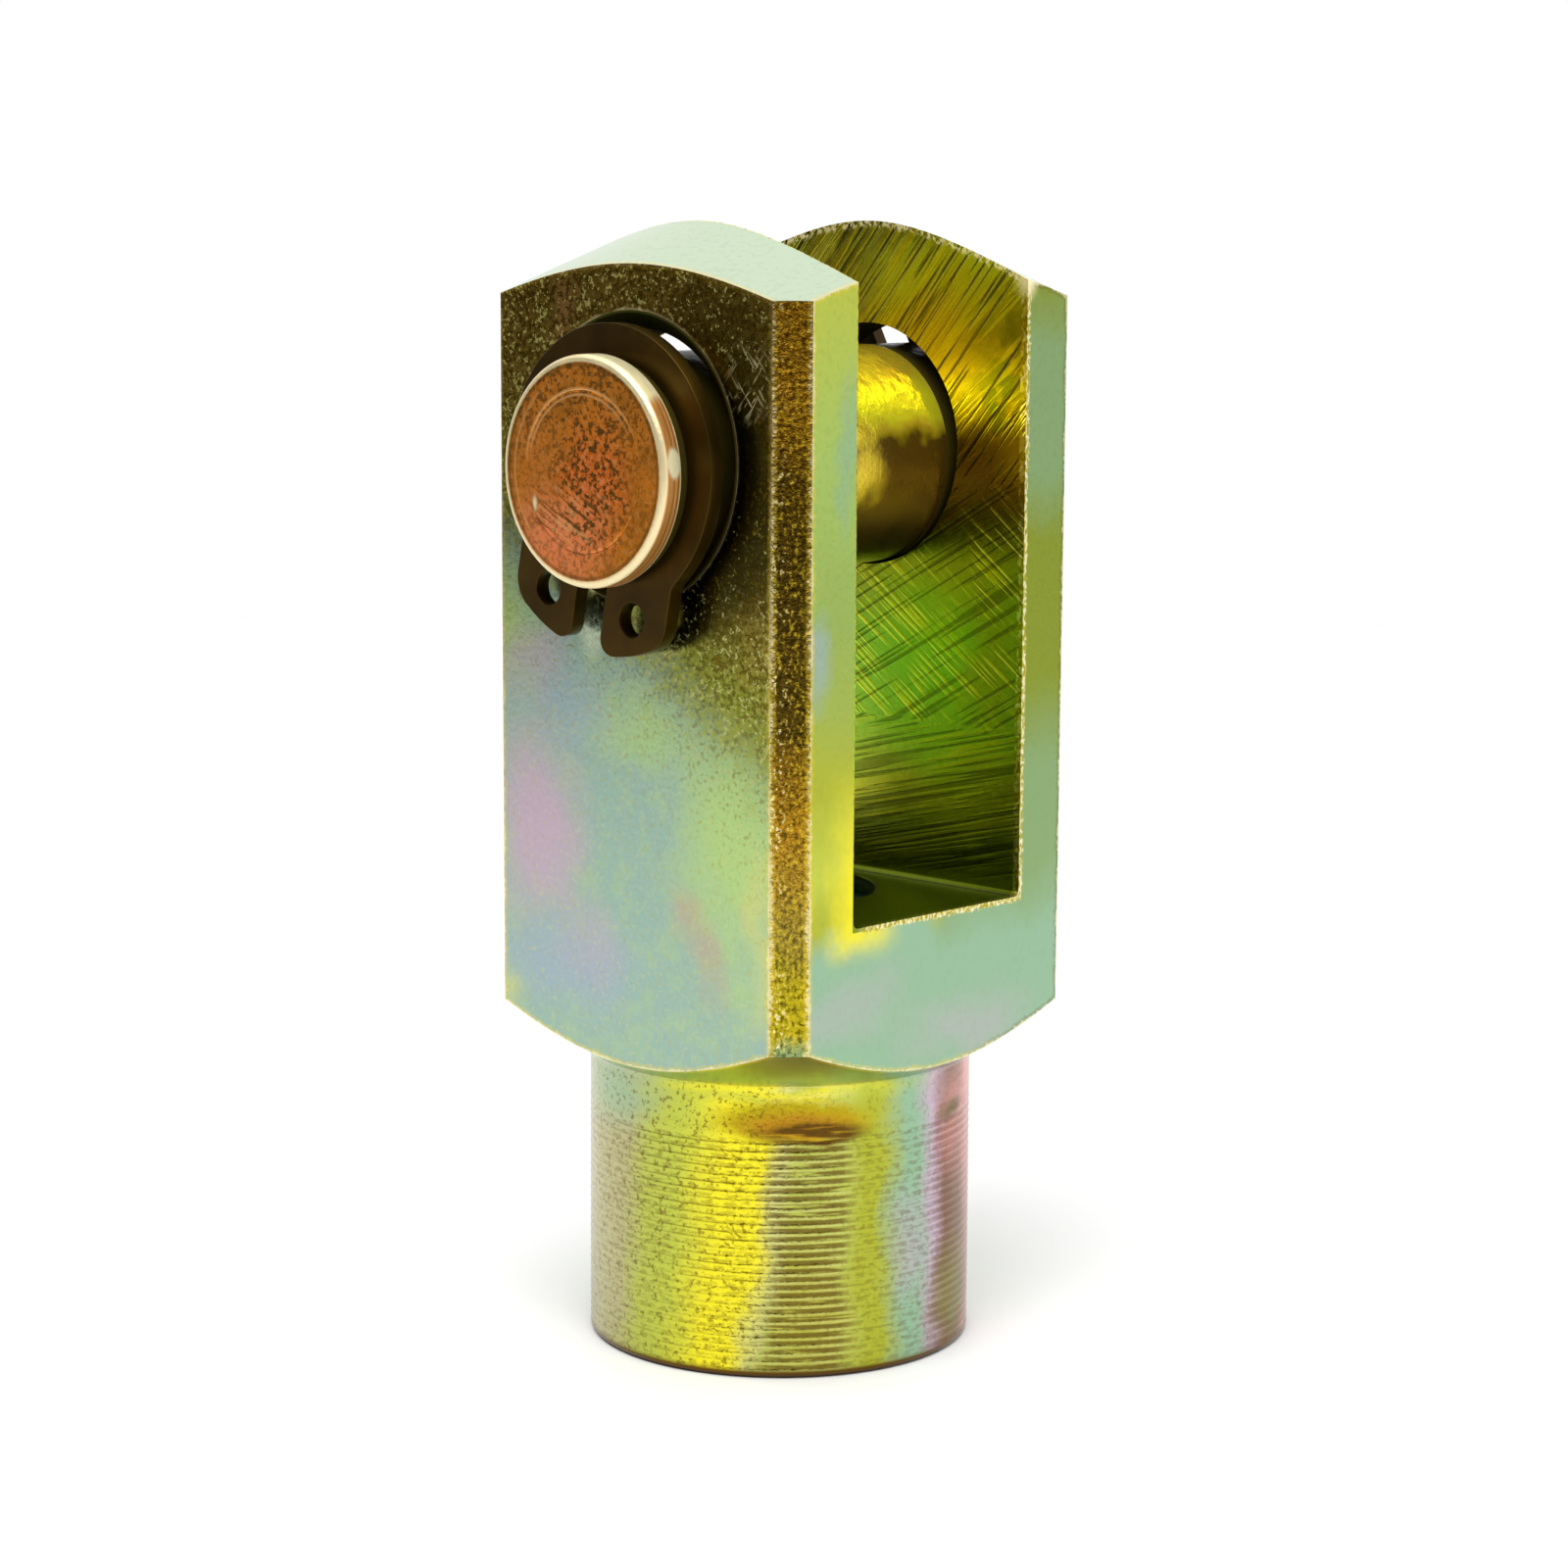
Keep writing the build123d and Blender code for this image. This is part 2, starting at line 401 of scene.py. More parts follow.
def combine(obj, tool, operation="DIFFERENCE"):
    """Cuts a piece with a tool, or joins or intersects the two; the tool is used up."""
    select_only(obj)
    boolean = obj.modifiers.new("Cut", "BOOLEAN")
    boolean.operation = operation
    boolean.solver = "EXACT"
    boolean.object = tool
    bpy.ops.object.modifier_apply(modifier=boolean.name)
    mesh = tool.data
    bpy.data.objects.remove(tool)
    bpy.data.meshes.remove(mesh)


def merge_flats(obj):
    """Dissolves the lines that a cut leaves across flat faces."""
    edit(obj, "SELECT")
    bpy.ops.mesh.remove_doubles(threshold=WELD)
    bpy.ops.mesh.dissolve_limited(angle_limit=math.radians(0.2))
    leave_edit()


def finish_surface(obj, degrees=30):
    """Smooth shading that keeps flat faces flat."""
    select_only(obj)
    bpy.ops.object.shade_smooth_by_angle(angle=math.radians(degrees))
    weighted = obj.modifiers.new("Weighted normals", "WEIGHTED_NORMAL")
    weighted.mode = "FACE_AREA"
    weighted.keep_sharp = True
    bpy.ops.object.modifier_apply(modifier=weighted.name)


def hand_over(obj, node, material):
    """Puts a finished piece in the place of its CAD node."""
    obj.data.materials.clear()
    obj.data.materials.append(material)
    body = frame["nodes"][node]["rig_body"]
    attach(obj, body)
    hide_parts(node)


# ------------------------------------------------------------------ fork head
def fork_blank(sizes):
    """The turned outline: grooved shank, neck, shoulder cone and coned crown."""
    radius = sizes.shank_diameter / 2
    envelope = FORK_HIGH.x * math.sqrt(2)
    rise = math.tan(sizes.shoulder_angle)
    fall = math.tan(sizes.crown_angle)
    half_slot = sizes.slot_width / 2
    turn = math.radians(90) - sizes.shoulder_angle
    tangent = sizes.neck_fillet * math.tan(turn / 2)
    shake = random.Random(GROOVE_SEED)

    outline = [(0, 0)]
    outline += arc((radius - sizes.end_round, sizes.end_round), sizes.end_round, -90, 0, 5)
    height = sizes.end_round
    groove_top = sizes.shank_length - sizes.smooth_neck
    while height + sizes.groove_pitch < groove_top:
        depth = sizes.groove_depth * shake.uniform(GROOVE_LEAST, 1.0)
        for share, cut in GROOVE_SHAPE:
            outline.append((radius - depth * cut, height + sizes.groove_pitch * share))
        height += sizes.groove_pitch
    neck_radius = radius - sizes.groove_depth / 2
    outline.append((neck_radius, height + sizes.groove_pitch / 2))
    outline += arc(
        (neck_radius + sizes.neck_fillet, sizes.shank_length - tangent),
        sizes.neck_fillet, 180, 180 - math.degrees(turn), 5,
    )
    outline += [
        (envelope, sizes.shank_length + (envelope - radius) * rise),
        (envelope, FORK_HIGH.z - (envelope - half_slot) * fall),
        (0, FORK_HIGH.z + half_slot * fall),
    ]
    return lathe("fork_body", outline, TURNED_SIDES)


def square_bar(sizes):
    """The chamfered bar that the head is turned from."""
    margin = sizes.slot_width
    bar = block(
        "bar", (FORK_LOW.x, FORK_LOW.y, FORK_LOW.z - margin),
        (FORK_HIGH.x, FORK_HIGH.y, FORK_HIGH.z + margin),
    )
    round_edges(bar, is_upright, sizes.bar_chamfer, segments=1)
    return bar


def slot_cutter(sizes):
    """The milled slot, open above and along X, with small radii along its floor."""
    reach = FORK_HIGH.x * 1.5
    half = sizes.slot_width / 2
    cutter = block(
        "slot", (-reach, -half, sizes.slot_floor), (reach, half, FORK_HIGH.z + reach),
    )
    round_edges(
        cutter,
        lambda edge: abs(middle(edge).z - sizes.slot_floor) < WELD
        and abs(middle(edge).x) < WELD,
        sizes.slot_corner, segments=4,
    )
    return cutter


def hole_cutter(sizes):
    """The cross hole with its countersink outside each ear."""
    radius = sizes.hole_diameter / 2
    face = FORK_HIGH.y
    reach = face * 1.3
    flare = radius + sizes.countersink + reach - face
    start = face - sizes.countersink
    outline = [
        (0, -reach), (flare, -reach), (radius, -start), (radius, start), (flare, reach),
        (0, reach),
    ]
    centre = Vector((0, 0, FORK_HIGH.z - sizes.hole_to_top))
    return lathe("cross_hole", outline, HOLE_SIDES, ALONG_PIN, centre)


def thread_cutter(sizes):
    """The rod's thread: one pitch of its outline wound up by a screw, trimmed at both ends."""
    minor, major = sizes.thread_minor / 2, sizes.thread_major / 2
    flank = (major - minor) * math.tan(THREAD_FLANK)
    crest = sizes.thread_pitch / 3
    root = sizes.thread_pitch - crest - 2 * flank
    start = -2 * sizes.thread_pitch
    heights = (start, start + crest, start + crest + flank, start + crest + flank + root,
               start + sizes.thread_pitch)
    radii = (minor, minor, major, major, minor)
    cutter = trace("thread", [Vector((r, 0, height)) for r, height in zip(radii, heights)])
    leave_edit()
    screw = cutter.modifiers.new("Winding", "SCREW")
    screw.axis = "Z"
    screw.angle = math.tau
    screw.screw_offset = sizes.thread_pitch
    screw.iterations = int(sizes.slot_floor / sizes.thread_pitch) + SPARE_TURNS
    screw.steps = screw.render_steps = THREAD_SIDES
    screw.use_merge_vertices = True
    screw.merge_threshold = WELD
    bpy.ops.object.modifier_apply(modifier=screw.name)

    top = sizes.slot_floor + sizes.slot_corner
    edit(cutter, "SELECT")
    bpy.ops.mesh.remove_doubles(threshold=WELD)
    for height, above in ((-sizes.slot_corner, False), (top, True)):
        bpy.ops.mesh.select_all(action="SELECT")
        bpy.ops.mesh.bisect(
            plane_co=(0, 0, height), plane_no=(0, 0, 1), use_fill=True,
            clear_inner=not above, clear_outer=above,
        )
    close_up()
    return cutter


def mouth_cutter(sizes):
    """The countersink that lets the rod in."""
    radius = sizes.thread_mouth / 2
    margin = sizes.end_round
    outline = [(0, -margin), (radius + margin, -margin), (0, radius)]
    return lathe("thread_mouth", outline, MOUTH_SIDES)


def make_fork(sizes):
    fork = fork_blank(sizes)
    combine(fork, square_bar(sizes), "INTERSECT")
    combine(fork, slot_cutter(sizes))
    combine(fork, hole_cutter(sizes))
    above_neck = sizes.shank_length + sizes.neck_fillet
    round_edges(
        fork, lambda edge: middle(edge).z > above_neck and is_sharp(edge),
        sizes.edge_round,
    )
    combine(fork, thread_cutter(sizes))
    combine(fork, mouth_cutter(sizes))
    finish_surface(fork)
    return fork


# ------------------------------------------------------------------ clevis pin
def make_pin(sizes):
    radius = PIN_HIGH.x
    end = PIN_HIGH.y
    groove = sizes.groove_diameter / 2
    shoulder = end - sizes.end_round
    circle = sizes.score_diameter / 2
    score = sizes.score_depth
    half = [
        (0, end), (circle - 7 * score, end), (circle - 5 * score, end),
        (circle - 2 * score, end - score / 2), (circle - score, end),
        (circle + score, end - score), (circle + 3 * score, end), (circle + 5 * score, end),
        (radius - sizes.end_round * 1.2, end),
    ]
    half += arc((radius - sizes.end_round, shoulder), sizes.end_round, 90, 0, 6)
    half += [
        (radius, sizes.groove_outer + sizes.groove_break),
        (radius - sizes.groove_break, sizes.groove_outer), (groove, sizes.groove_outer),
        (groove, sizes.groove_inner), (radius, sizes.groove_inner),
    ]
    outline = half + [(r, -along) for r, along in reversed(half)]
    pin = lathe("pin_body", outline, TURNED_SIDES, ALONG_PIN, Vector((0, 0, PIN_HEIGHT)))
    finish_surface(pin)
    return pin


# ------------------------------------------------------------------ retaining rings
def make_ring(sizes, name, node, outward, turn):
    """A stamped ring, made flat with its gap towards -Y and its outer face up, then set up."""
    low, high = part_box(node)
    thickness = high.y - low.y
    lug = sizes.lug_diameter / 2
    half_span = sizes.lug_span / 2
    tall = 4 * thickness

    def meeting(circle, half_width, offset=0):
        """Where an upright side meets a circle below, and how far the circle leans there."""
        lean = math.asin(half_width / circle)
        return (half_width, offset - circle * math.cos(lean)), lean

    ring = disc(name, sizes.lug_diameter, 0, thickness)
    combine(ring, block("lug_sides", (-half_span, -lug - MM, -tall), (half_span, 0, tall)),
            "INTERSECT")
    corner, lean = meeting(lug, half_span)
    round_corner(ring, corner, sizes.lug_shoulder_round, math.pi / 2 - lean)
    body = disc("body", sizes.body_diameter, 0, thickness, (0, sizes.eccentricity))
    combine(ring, body, "UNION")
    merge_flats(ring)
    corner, lean = meeting(sizes.body_diameter / 2, half_span, sizes.eccentricity)
    round_corner(ring, corner, sizes.lug_root_round, math.pi / 2 - lean, segments=6)
    combine(ring, disc("bore", sizes.bore_diameter, -tall, tall))
    half_gap = sizes.gap / 2
    combine(ring, block("gap", (-half_gap, -lug - MM, -tall), (half_gap, 0, tall)))
    corner, lean = meeting(lug, half_gap)
    round_corner(ring, corner, sizes.lug_tip_round, math.pi / 2 + lean)
    for side in (-1, 1):
        centre = (side * sizes.plier_hole_spacing / 2, -sizes.plier_hole_drop)
        hole = disc("plier_hole", sizes.plier_hole_diameter, -tall, tall, centre,
                    PLIER_HOLE_SIDES)
        combine(ring, hole)
    merge_flats(ring)

    def on_face(edge, height):
        return is_sharp(edge, 40) and all(abs(v.co.z - height) < WELD for v in edge.verts)

    round_edges(ring, lambda edge: on_face(edge, 0), sizes.burr_round, segments=2)
    round_edges(ring, lambda edge: on_face(edge, thickness), sizes.die_roll, segments=4)

    across = Vector((-outward * math.cos(turn), 0, math.sin(turn)))
    out = Vector((0, outward, 0))
    upwards = out.cross(across)
    face = low.y if outward > 0 else high.y
    place = Matrix.Translation((0, face, PIN_HEIGHT))
    ring.matrix_world = place @ Matrix((across, upwards, out)).transposed().to_4x4()
    select_only(ring)
    bpy.ops.object.transform_apply(location=True, rotation=True, scale=True)
    finish_surface(ring)
    return ring


# ------------------------------------------------------------------ materials
class Field:
    """A number, colour or direction that varies over a surface: one output of a node."""

    def __init__(self, recipe, socket):
        self.recipe = recipe
        self.socket = socket

    def __add__(self, other):
        return self.recipe.math("ADD", self, other)

    def __sub__(self, other):
        return self.recipe.math("SUBTRACT", self, other)

    def __rsub__(self, other):
        return self.recipe.math("SUBTRACT", other, self)

    def __mul__(self, other):
        return self.recipe.math("MULTIPLY", self, other)

    def __abs__(self):
        return self.recipe.math("ABSOLUTE", self)

    def rises(self, low, high):
        """0 below low and 1 above high, or the other way round, with soft ends."""
        return self.recipe.node(
            "ShaderNodeMapRange", "Result", interpolation_type="SMOOTHSTEP",
            Value=self, From_Min=low, From_Max=high,
        )


class Recipe:
    """Adds the nodes of a material or a world by short calls."""

    def __init__(self, tree):
        self.tree = tree

    def put(self, socket, value):
        if isinstance(value, Field):
            self.tree.links.new(value.socket, socket)
        else:
            socket.default_value = value

    def node(self, kind, output=0, **values):
        """Adds a node; a value goes to the socket or else the setting of that name."""
        made = self.tree.nodes.new(kind)
        settings = [name for name in values if hasattr(made, name)]
        for name in settings:
            setattr(made, name, values[name])
        for name, value in values.items():
            if name not in settings:
                self.put(made.inputs[name.replace("_", " ")], value)
        return Field(self, made.outputs[output])

    def math(self, operation, first, second=None):
        made = self.tree.nodes.new("ShaderNodeMath")
        made.operation = operation
        self.put(made.inputs[0], first)
        if second is not None:
            self.put(made.inputs[1], second)
        return Field(self, made.outputs[0])

    def larger(self, first, second):
        return self.math("MAXIMUM", first, second)

    def smaller(self, first, second):
        return self.math("MINIMUM", first, second)

    def vector(self, operation, first, second, output=0):
        made = self.tree.nodes.new("ShaderNodeVectorMath")
        made.operation = operation
        self.put(made.inputs[0], first)
        self.put(made.inputs["Scale" if operation == "SCALE" else 1], second)
        return Field(self, made.outputs[output])

    def coordinates(self, output):
        return self.node("ShaderNodeTexCoord", output)

    def place(self):
        """The place on the piece, in millimetres."""
        return self.vector("SCALE", self.coordinates("Object"), 1 / MM)

    def join(self, x, y, z):
        return self.node("ShaderNodeCombineXYZ", X=x, Y=y, Z=z)

    def length(self, vector):
        return self.vector("LENGTH", vector, (0, 0, 0), "Value")

    def split(self, vector):
        made = self.tree.nodes.new("ShaderNodeSeparateXYZ")
        self.put(made.inputs[0], vector)
        return [Field(self, output) for output in made.outputs]

    def noise(self, vector, size, detail=2.0, roughness=0.5, output="Fac"):
        """Clouds of about that size in millimetres."""
        return self.node(
            "ShaderNodeTexNoise", output, Vector=vector, Scale=1 / size, Detail=detail,
            Roughness=roughness,
        )

    def wander(self, vector, size, reach):
        """The place, moved about by up to half the reach so that shapes get natural edges."""
        clouds = self.noise(vector, size, output="Color")
        shift = self.vector("SUBTRACT", clouds, (0.5, 0.5, 0.5))
        return self.vector("ADD", vector, self.vector("SCALE", shift, reach))

    def streaks(self, vector, width, length, slope):
        """Streaks in the X-Z plane that rise by slope degrees towards +X."""
        stretched = self.node(
            "ShaderNodeMapping", vector_type="TEXTURE", Vector=vector,
            Rotation=(0, math.radians(90 - slope), 0), Scale=(1, 1, length / width),
        )
        return self.noise(stretched, width, detail=1.0)

    def patch(self, vector, centre, spread):
        """1 in the middle of an ellipsoid and 0 outside it, in millimetres."""
        offset = self.vector("SUBTRACT", vector, centre)
        return self.length(self.vector("DIVIDE", offset, spread)).rises(1.0, 0.15)

    def mix(self, factor, first, second):
        made = self.tree.nodes.new("ShaderNodeMix")
        made.data_type = "RGBA"
        self.put(made.inputs[0], factor)
        for socket, value in ((made.inputs[6], first), (made.inputs[7], second)):
            self.put(socket, value if isinstance(value, Field) else (*value, 1))
        return Field(self, made.outputs[2])

    def coats(self, film, *coats):
        """Lays (amount, colour) coats over a film, one after another."""
        for amount, colour in coats:
            film = self.mix(amount, film, colour)
        return film

    def blots(self, film, vector, *blots):
        """Lays (colour, centre, spread, strength) patches over a film, one after another."""
        for colour, centre, spread, strength in blots:
            film = self.mix(self.patch(vector, centre, spread) * strength, film, colour)
        return film

    def ramp(self, value, stops):
        """Blends through (place from 0 to 1, colour) stops."""
        made = self.tree.nodes.new("ShaderNodeValToRGB")
        self.put(made.inputs[0], value)
        elements = made.color_ramp.elements
        while len(elements) < len(stops):
            elements.new(1.0)
        for element, (place, colour) in zip(elements, stops):
            element.position = place
            element.color = (*colour, 1)
        return Field(self, made.outputs[0])

    def finish(self, shader, **values):
        """Puts each value on the shader's socket of that name."""
        for name, value in values.items():
            self.put(shader[name.replace("_", " ")], value)

    def bump(self, height, depth, under=None):
        """Relief of that depth in millimetres."""
        values = {"Height": height, "Distance": depth * MM, "Strength": 1.0}
        if under is not None:
            values["Normal"] = under
        return self.node("ShaderNodeBump", **values)


def new_material(name, metallic):
    """A material and its recipe, with an empty metal or paint shader."""
    material = bpy.data.materials.new(name)
    material.use_nodes = True
    shader = material.node_tree.nodes["Principled BSDF"]
    shader.inputs["Metallic"].default_value = metallic
    return material, Recipe(material.node_tree), shader.inputs


class ForkSurface:
    """Where a point of the fork lies, in millimetres, and the clouds that its films share."""

    def __init__(self, make, sizes):
        self.place = place = make.place()
        self.x, self.y, self.z = x, y, z = make.split(place)
        self.facing_x, self.facing_y, self.facing_z = make.split(make.coordinates("Normal"))
        self.radius = radius = make.length(make.join(x, y, 0.0))
        self.shank = sizes.shank_diameter / 2 / MM
        self.neck = sizes.shank_length / MM
        self.floor = floor = sizes.slot_floor / MM
        self.across = make.math("ARCTAN2", y, x) * self.shank       # round the shank

        # how far it is from the edges and from the pin hole's rim
        half_slot = sizes.slot_width / 2 / MM
        rise = math.tan(sizes.shoulder_angle)
        fall = math.tan(sizes.crown_angle)
        flat = (FORK_HIGH.x - sizes.bar_chamfer) / MM
        hole_height = (FORK_HIGH.z - sizes.hole_to_top) / MM
        hole_rim = (sizes.hole_diameter / 2 + sizes.countersink) / MM
        self.to_rim = abs(make.larger(abs(y) - half_slot, floor - z))
        self.to_corner = abs(make.smaller(abs(x), abs(y)) - flat)
        self.to_crown = abs(z - FORK_HIGH.z / MM + (radius - half_slot) * fall)
        self.to_shoulder = abs(z - self.neck - (radius - self.shank) * rise)
        self.past_hole = make.length(make.join(x, z - hole_height, 0.0)) - hole_rim
        self.corner = abs(self.facing_x * self.facing_y).rises(0.3, 0.45)
        self.inside = abs(y).rises(half_slot + 0.07, half_slot + 0.01)
        self.inside = self.inside * z.rises(floor - 0.20, floor - 0.14)

        self.drift = make.wander(make.wander(place, 5.0, 4.5), 1.3, 1.0)
        self.climb = make.split(self.drift)[2] * (1 / RAMP_SPAN)
        self.fine = make.noise(place, 0.16)
        self.crust = make.noise(make.vector("MULTIPLY", place, (1, 1, 0.7)), 0.17)
        self.specks = make.noise(place, 0.22, roughness=0.6)
        self.grain = make.noise(place, 0.3, detail=3.0, roughness=0.6)
        self.mottle = make.noise(place, 0.9, detail=3.0)
        self.wear = make.noise(place, 1.6, detail=4.0)


def front_face(make, tint, at, film):
    """Front face: pale tints below; above, flecked, with painted shade and a painted shadow
    beside the ring. Also tells where it is flaked or scratched, and where painted light lies
    between the lugs.
    """
    front = at.facing_y.rises(-0.8, -0.95) * at.y.rises(-7.5, -8.5)
    film = make.coats(
        film, (front, tint.mint), (at.mottle.rises(0.40, 0.75) * front * 0.3, tint.leaf),
    )
    film = make.blots(
        film, at.drift,
        (tint.leaf, (6.5, -9.5, 24.5), (5.5, 3, 9.5), 1.0),
        (tint.leaf, (-8.5, -9.5, 33.5), (3.5, 3, 4.5), 0.9),
        (tint.leaf, (0.5, -9.5, 29.0), (5.0, 3, 3.0), 0.7),
        (tint.haze, (-3.5, -9.5, 29.5), (4.5, 3, 3.0), 0.7),
        (tint.lilac, (-6.2, -9.5, 24.0), (4.4, 3, 6.5), 1.0),
        (tint.haze, (-4.0, -9.5, 17.8), (6.0, 3, 3.6), 1.0),
        (tint.lilac, (-2.8, -9.5, 19.5), (2.6, 3, 3.6), 0.35),
        (tint.lilac, (-6.5, -9.5, 31.5), (3.2, 3, 2.6), 0.6),
        (tint.rose, (3.4, -9.5, 21.3), (1.6, 3, 2.2), 0.32),
        (tint.rose, (4.3, -9.5, 19.0), (1.6, 3, 2.0), 0.32),
        (tint.straw, (7.8, -9.5, 21.0), (1.2, 3, 5.0), 0.6),
    )
    foot = make.patch(at.place, (-8.8, -9.5, 16.2), (2.8, 3, 1.7)) * (1 - at.mottle)
    # painted shade: going up, the front turns to dull bronze and fern, partly its own film and
    # partly painted shade; the shadow patch and the soot blot beside the ring are painted shadow
    height = at.z + at.x * 0.6 + (at.mottle - 0.5) * 3
    shade_rise = height.rises(27.8, 37.0)
    early = height.rises(22.0, 31.0) * (shade_rise * 0.6 + 0.4)
    shadow = make.patch(at.drift, (5.6, -9.5, 40.5), (6.5, 3, 11.0))
    shade = make.mix(height.rises(39.0, 34.0) * 0.8, tint.bronze, tint.fern)
    shade = make.blots(
        make.mix(shadow, shade, tint.shade_olive), at.drift,
        (tint.peach, (-4.3, -9.5, 46.4), (1.3, 3, 3.2), 0.55),
        (tint.soot_and_shade, (5.4, -9.5, 37.2), (4.4, 3, 5.2), 1.0),
    )
    shade_cover = (shade_rise + (at.specks - 0.5) * 1.2).rises(0.15, 0.85)
    chips = make.noise(at.place, 0.21, roughness=0.7)
    flakes = (chips + (at.wear - 0.5) * 0.3 - shadow * 0.13).rises(0.55, 0.64)
    flakes = flakes * front * (shade_rise * 0.9 + 0.1) * 0.7
    lines = [make.streaks(at.place, 0.2, 1.2, slope).rises(0.60, 0.68) for slope in (52, -50)]
    scratched = make.patch(at.drift, (6.9, -9.5, 44.5), (2.0, 3, 2.4)) * make.larger(*lines)
    # painted light: a pale patch between the lugs, where the ring shades the face
    lit_between_lugs = make.patch(at.place, (-2.5, -9.5, 32.9), (1.1, 1, 1.6)) * front
    film = make.coats(
        film,
        (front * foot.rises(0.0, 0.9) * 0.5, tint.lemon),
        (front * shade_cover, shade),
        (front * shade_rise * at.specks.rises(0.50, 0.40) * 0.85, tint.soot_and_shade),
        (front * early * at.specks.rises(0.40, 0.33) * 0.7, tint.peat),
        (flakes, tint.straw),
        (lit_between_lugs * 0.7, tint.pearl),
        (front * scratched * 0.45, tint.cream_wear_and_highlight),
        (front * at.specks.rises(0.56, 0.66) * (0.25 - shadow * 0.22), tint.straw),
        (front * at.specks.rises(0.44, 0.34) * 0.2, tint.honey),
    )
    lit_between_lugs = lit_between_lugs * chips.rises(0.4, 0.6)
    return film, make.larger(flakes, make.larger(scratched * front, lit_between_lugs))


def right_face(make, tint, at, film):
    """Right face: one strip beside each ear, and yellow hugging the foot of the slot."""
    right = at.facing_x.rises(0.8, 0.95)
    near = make.ramp(
        at.climb,
        ((0.35, tint.teal), (0.41, tint.teal), (0.43, tint.grass), (0.46, tint.butter),
         (0.54, tint.grass), (0.66, tint.herb), (0.82, tint.meadow), (0.97, tint.butter)),
    )
    far = make.ramp(
        at.climb,
        ((0.38, tint.teal), (0.44, tint.sage), (0.52, tint.sage), (0.60, tint.fern),
         (0.74, tint.fern), (0.80, tint.sage), (0.90, tint.sage), (0.97, tint.fern)),
    )
    film = make.blots(
        make.mix(right, film, make.mix(at.y.rises(-1.0, 1.0), near, far)), at.drift,
        (tint.haze, (9.5, -8.0, 32.3), (3, 1.4, 2.2), 0.6),
        (tint.teal, (9.5, -6.0, 41.0), (3, 1.0, 5.0), 0.6),
        (tint.lilac, (9.5, -6.0, 17.0), (3, 5.0, 2.6), 0.3),
        (tint.lilac, (9.5, 2.0, 15.2), (3, 6.0, 2.4), 0.4),
    )
    hug = (at.to_rim + (at.mottle - 0.5) * 1.6).rises(2.2, -0.2) * at.y.rises(-2.0, -4.6)
    hug = right * hug * at.z.rises(29.0, 22.0) * at.z.rises(18.8, 20.0)
    return make.mix(hug * 0.9, film, tint.lemon)


def bar_corners(make, tint, at, film):
    """The bar's corners, with their rough drawn skin."""
    skin = make.ramp(
        at.climb,
        ((0.31, tint.sage), (0.335, tint.honey), (0.38, tint.honey), (0.42, tint.bronze),
         (0.52, tint.ochre), (0.59, tint.bark), (0.74, tint.bark), (0.79, tint.peat),
         (0.86, tint.ochre)),
    )
    flaked = at.crust.rises(0.56, 0.64) * (abs(at.x) - abs(at.y)).rises(0.2, -0.9)
    skin = make.coats(
        skin,
        (at.crust.rises(0.52, 0.34) * 0.7, tint.soot_and_shade),
        (at.crust.rises(0.52, 0.66) * 0.5, tint.gold),
        (flaked * at.wear.rises(0.42, 0.58) * 0.8, tint.cream_wear_and_highlight),
    )
    return make.mix(at.corner, film, skin)


def slot_inside(make, tint, at, film):
    """Inside the slot, with the milling cutter's marks. Also gives their relief."""
    murk = make.patch(at.drift, (8.0, 5.5, 44.0), (2.6, 3, 5.0)) * at.mottle.rises(0.36, 0.56)
    # painted shade and light: over the film's own tints, this ramp darkens towards the slot's
    # floor and brightens towards its top
    depth = make.ramp(
        at.climb,
        ((0.43, tint.pond), (0.46, tint.pond), (0.50, tint.moss), (0.56, tint.emerald),
         (0.64, tint.emerald), (0.70, tint.moss), (0.79, tint.bronze), (0.855, tint.gold),
         (0.92, tint.brass), (0.99, tint.lime)),
    )
    depth = make.blots(
        make.mix(murk * 0.85, depth, tint.pond), at.drift,
        (tint.gold, (3.8, 5.5, 45.4), (3.4, 3, 2.4), 0.8),
        (tint.ochre, (8.0, 5.5, 31.0), (3.0, 3, 5.0), 0.5),
    )
    wall = at.inside * at.z.rises(at.floor + 0.2, at.floor + 0.4)
    high = at.z.rises(38.0, 40.0)
    low = at.z.rises(28.6, 27.6)
    steep, slanted, falling, rising, level = (
        make.streaks(at.place, *streak)             # width, length and slope
        for streak in (
            (0.20, 6.0, 50), (0.22, 4.0, 40), (0.19, 6.0, -36), (0.22, 9.0, 29), (0.22, 9.0, 13),
        )
    )
    bright = make.mix((at.x - at.z * 0.5).rises(-18.5, -15.5), steep, slanted)
    bright = make.mix(low, make.mix(high, falling, bright), level)
    dark = make.mix(low, make.mix(high, rising, steep), level)
    lit = bright.rises(0.52, 0.62) * make.noise(at.place, 2.5, detail=1.0).rises(0.30, 0.60)
    scored = dark.rises(0.46, 0.36) * (high * 0.4 + 0.6)
    film = make.coats(
        film, (at.inside, depth), (wall * lit * (0.65 - low * 0.42), tint.lemon),
        (wall * scored * 0.8, tint.soot_and_shade),
    )
    return film, (lit * 0.6 - scored) * wall


